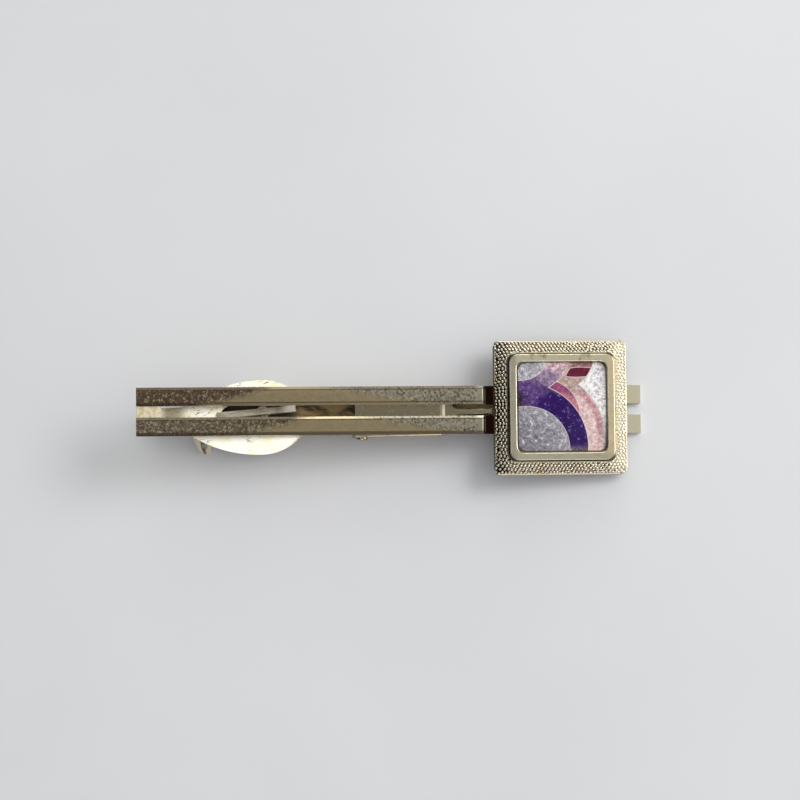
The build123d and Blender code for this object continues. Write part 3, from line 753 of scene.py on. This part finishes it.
def build_spring():
    """The spring again, finely sliced along its length; the real spring's long leg bends between the lever
    and the rails.
    """
    mesh = NODES["hairpin_spring"].data.copy()
    obj = bpy.data.objects.new("hairpin_strip", mesh)
    bpy.context.scene.collection.objects.link(obj)
    work = bmesh.new()
    work.from_mesh(mesh)
    bmesh.ops.remove_doubles(work, verts=work.verts, dist=1e-7)
    low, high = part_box("hairpin_spring")
    for cut in np.linspace(low.x, high.x, SPRING_SLICES + 1)[1:-1]:
        geometry = work.verts[:] + work.edges[:] + work.faces[:]
        bmesh.ops.bisect_plane(work, geom=geometry, plane_co=(cut, 0, 0), plane_no=(1, 0, 0))
    work.to_mesh(mesh)
    work.free()
    round_edges(obj, 0.05, 50, False)
    obj.data.materials.clear()
    obj.data.materials.append(spring_metal(high.x / MM))
    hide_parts("hairpin_spring")
    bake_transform(obj)


# Paper, light and camera

# The clip lies on its lowest points, so the paper leans a little against the rails
PAPER_NORMAL = Vector((-0.11966, 0.0, 0.99282))
PAPER_GAP = 0.02 * MM
PAPER_REACH = 600 * MM
PAPER_SQUARES = 60
PAPER_DARK = (0.755, 0.775, 0.82)
PAPER_LIGHT = (0.79, 0.81, 0.855)

# The camera looks nearly straight down, with its angles in degrees
VIEW_PITCH = 4.0
VIEW_TILT = 3.0
VIEW_ROLL = 0.365
VIEW_SLOPES = (-math.sin(math.radians(VIEW_PITCH)), -math.sin(math.radians(VIEW_TILT)))
VIEW_NORMAL = Vector((*VIEW_SLOPES, 1)).normalized()
VIEW_CENTRE = Vector((-9.513, 1.211, 0.6)) * MM
VIEW_DISTANCE = 230 * MM
VIEW_WIDTH = 92.505 * MM
SENSOR_WIDTH = 36

# The lamp that throws the shadow. Shiny surfaces don't mirror it: they mirror the room below.
LAMP_WIDTH = 240 * MM
LAMP_HEIGHT = 170 * MM
LAMP_DISTANCE = 450 * MM
LAMP_DIRECTION = Vector((0.75, 0.55, 0.8))
LAMP_POWER = 0.93
LAMP_COLOUR = (1.0, 0.98, 0.95)

# What shiny surfaces mirror: a dark room with patches of light, each painted over the ones before it.
# A patch has its direction, the angles in degrees where it starts to fade and has faded, and its colour.
ROOM_COLOUR = (0.035, 0.026, 0.02)
ROOM_PATCHES = (
    ((0.0, 0.0, 1.0), 22, 52, (0.62, 0.585, 0.50)),
    ((1.0, 0.15, 0.40), 12, 30, (4.4, 4.25, 3.8)),
    ((0.0, 1.0, 0.32), 8, 26, (3.2, 3.1, 2.7)),
    ((0.1, -1.0, 0.30), 7, 26, (1.95, 1.82, 1.58)),
    ((-0.42, 0.02, 1.0), 8, 15, (1.48, 1.47, 1.42)),
    ((0.02, 0.02, 1.0), 6.5, 11, (0.27, 0.25, 0.205)),
    ((-0.075, 0.05, 1.0), 2, 5.5, (0.17, 0.145, 0.12)),
)

# What dull surfaces see, and what the camera sees past the paper
FILL_STRENGTH = 0.87
FILL_SHADE = (0.30, 0.30, 0.31)
FILL_PATCH = ((0.5, 0.6, 0.6), 20, 90, (0.85, 0.84, 0.82))
BACKDROP_COLOUR = (0.70, 0.71, 0.73, 1)


def paper_material():
    """Faintly clouded and grained paper, which is clear when seen from behind."""
    s = Shader("paper")
    cloud = s.ramp(s.noise(0.02, 3.0), 0.3, 0.7)
    tone = s.mix(cloud, PAPER_DARK, PAPER_LIGHT)
    normal = s.bump(s.noise(4.0, 4.0, 0.7), 0.01)
    front = s.add("ShaderNodeBsdfDiffuse", {"Color": tone, "Normal": normal}).outputs[0]
    behind = s.add("ShaderNodeBsdfTransparent").outputs[0]
    facing = s.add("ShaderNodeNewGeometry").outputs["Backfacing"]
    mixed = s.add("ShaderNodeMixShader", {0: facing, 1: front, 2: behind}).outputs[0]
    s.add("ShaderNodeOutputMaterial", {"Surface": mixed})
    return s.material


def build_paper():
    """A large sheet just below the clip's lowest points."""
    solids = [node for name, node in NODES.items() if name != "hairpin_spring"]
    lowest = min(PAPER_NORMAL.dot(vert.co) for node in solids for vert in node.data.vertices)
    drop = PAPER_NORMAL.dot(VIEW_CENTRE) - lowest + PAPER_GAP
    work = bmesh.new()
    bmesh.ops.create_grid(work, x_segments=PAPER_SQUARES, y_segments=PAPER_SQUARES, size=PAPER_REACH)
    mesh = bpy.data.meshes.new("paper")
    work.to_mesh(mesh)
    work.free()
    paper = bpy.data.objects.new("paper", mesh)
    bpy.context.scene.collection.objects.link(paper)
    paper.rotation_mode = "QUATERNION"
    paper.rotation_quaternion = PAPER_NORMAL.to_track_quat("Z", "Y")
    paper.location = VIEW_CENTRE - PAPER_NORMAL * drop
    mesh.materials.append(paper_material())


def build_world():
    """A soft studio that shiny surfaces, dull surfaces and the camera each see differently."""
    world = bpy.data.worlds.new("studio")
    bpy.context.scene.world = world
    graph = Graph(world)
    direction = graph.add("ShaderNodeTexCoord").outputs["Generated"]

    def patched(below, towards, full, faded, colour):
        """The colour painted over what is below it, round one direction."""
        unit = Vector(towards).normalized()
        dot = graph.add("ShaderNodeVectorMath", {0: direction, 1: unit}, operation="DOT_PRODUCT")
        limits = {"From Min": math.cos(math.radians(faded)), "From Max": math.cos(math.radians(full))}
        inputs = {"Value": dot.outputs["Value"]} | limits
        share = graph.add("ShaderNodeMapRange", inputs, interpolation_type="SMOOTHSTEP").outputs[0]
        return graph.mix(share, below, colour)

    def background(colour, strength=1.0):
        return graph.add("ShaderNodeBackground", {"Color": colour, "Strength": strength}).outputs[0]

    room = ROOM_COLOUR
    for patch in ROOM_PATCHES:
        room = patched(room, *patch)
    fill = background(patched(FILL_SHADE, *FILL_PATCH), FILL_STRENGTH)
    rays = graph.add("ShaderNodeLightPath").outputs
    lit = graph.add("ShaderNodeMixShader", {0: rays["Is Diffuse Ray"], 1: background(room), 2: fill})
    seen = {0: rays["Is Camera Ray"], 1: lit.outputs[0], 2: background(BACKDROP_COLOUR)}
    mixed = graph.add("ShaderNodeMixShader", seen).outputs[0]
    graph.add("ShaderNodeOutputWorld", {"Surface": mixed})


def build_lamp():
    light = bpy.data.lights.new("window", "AREA")
    light.shape = "RECTANGLE"
    light.size = LAMP_WIDTH
    light.size_y = LAMP_HEIGHT
    light.energy = LAMP_POWER
    light.color = LAMP_COLOUR
    lamp = bpy.data.objects.new("window", light)
    lamp.visible_glossy = False
    bpy.context.scene.collection.objects.link(lamp)
    towards = LAMP_DIRECTION.normalized()
    lamp.location = VIEW_CENTRE + towards * LAMP_DISTANCE
    lamp.rotation_mode = "QUATERNION"
    lamp.rotation_quaternion = towards.to_track_quat("Z", "Y")


def build_camera():
    data = bpy.data.cameras.new("camera")
    data.sensor_width = SENSOR_WIDTH
    data.lens = SENSOR_WIDTH * VIEW_DISTANCE / VIEW_WIDTH
    data.clip_start = 10 * MM
    camera = bpy.data.objects.new("camera", data)
    bpy.context.scene.collection.objects.link(camera)
    camera.location = VIEW_CENTRE + VIEW_NORMAL * VIEW_DISTANCE
    across = Vector((1, 0, 0))
    across = (across - VIEW_NORMAL * across.dot(VIEW_NORMAL)).normalized()
    across = Matrix.Rotation(-math.radians(VIEW_ROLL), 3, VIEW_NORMAL) @ across
    up = VIEW_NORMAL.cross(across)
    turn = Matrix((across, up, VIEW_NORMAL)).transposed()
    camera.rotation_mode = "QUATERNION"
    camera.rotation_quaternion = turn.to_quaternion()
    bpy.context.scene.camera = camera


# Carried-over CAD nodes

# Bevel widths in millimetres
EDGE_WIDTHS = {
    "rail_upper": 0.05,
    "rail_lower": 0.05,
    "tail_spacer": 0.06,
    "clip_base": 0.05,
    "lever_arm": 0.05,
    "thumb_plate": 0.07,
    "chain_lug": 0.06,
    "back_plate": 0.05,
}


def soften_edges():
    """Rounds the sharp edges of the carried-over metal by a hair's breadth."""
    for name, width in EDGE_WIDTHS.items():
        weld = NODES[name].modifiers.new("weld", "WELD")
        weld.merge_threshold = 1e-7
        round_edges(NODES[name], width, 20, True)


def adhesive_resin():
    """The pad under the tile: cloudy, yellowed resin."""
    s = Shader("adhesive_resin")
    tone = s.mix(s.noise(1.0, 3.0), (0.62, 0.54, 0.36), (0.74, 0.66, 0.48))
    return s.surface(Base_Color=tone, Roughness=0.35, Normal=s.bump(s.noise(2.0), 0.02))


def back_enamel_glass():
    """The glass on the tile's back: dark and faintly clouded."""
    s = Shader("back_enamel_glass")
    tone = s.mix(s.noise(1.5, 3.0), (0.18, 0.18, 0.24), (0.30, 0.30, 0.38))
    return s.surface(Base_Color=tone, Roughness=0.15, Normal=s.bump(s.noise(3.0), 0.01))


def paint_metal():
    """Each plain plated metal is given by its colour and the colour of its stains."""
    nickel = bright_metal("nickel_metal", (0.46, 0.42, 0.33), (0.27, 0.21, 0.15))
    gilt = bright_metal("lever_metal", (0.66, 0.58, 0.46), (0.48, 0.36, 0.24), overlay=lever_hollow_darkening)
    wire = bright_metal("wire_metal", (0.92, 0.84, 0.84), (0.66, 0.52, 0.54), 0.2, metal=0.4)
    copper = bright_metal("copper_metal", (0.72, 0.42, 0.28), (0.35, 0.18, 0.10), 0.3)
    foil = bright_metal("foil_metal", (0.86, 0.87, 0.92), (0.7, 0.7, 0.75), 0.3, 0.02)
    paint(nickel, "clip_base", "hinge_pin", "spring_rivet", "back_plate")
    paint(gilt, "lever_arm")
    paint(wire, "cell_wires")
    paint(copper, "copper_blank")
    paint(foil, "silver_foil")
    paint(rail_metal(), "rail_upper", "rail_lower")
    paint(solder_metal(), "tail_spacer")
    paint(lug_metal(), "chain_lug")
    paint(thumb_metal(), "thumb_plate")
    paint(satin_metal(), "bezel_ring")


paint_metal()
paint_enamel()
paint(adhesive_resin(), "adhesive_pad")
paint(back_enamel_glass(), "counter_enamel")
soften_edges()
build_head_frame()
build_spring()
build_paper()
build_world()
build_lamp()
build_camera()
bpy.context.scene.view_settings.view_transform = "Standard"
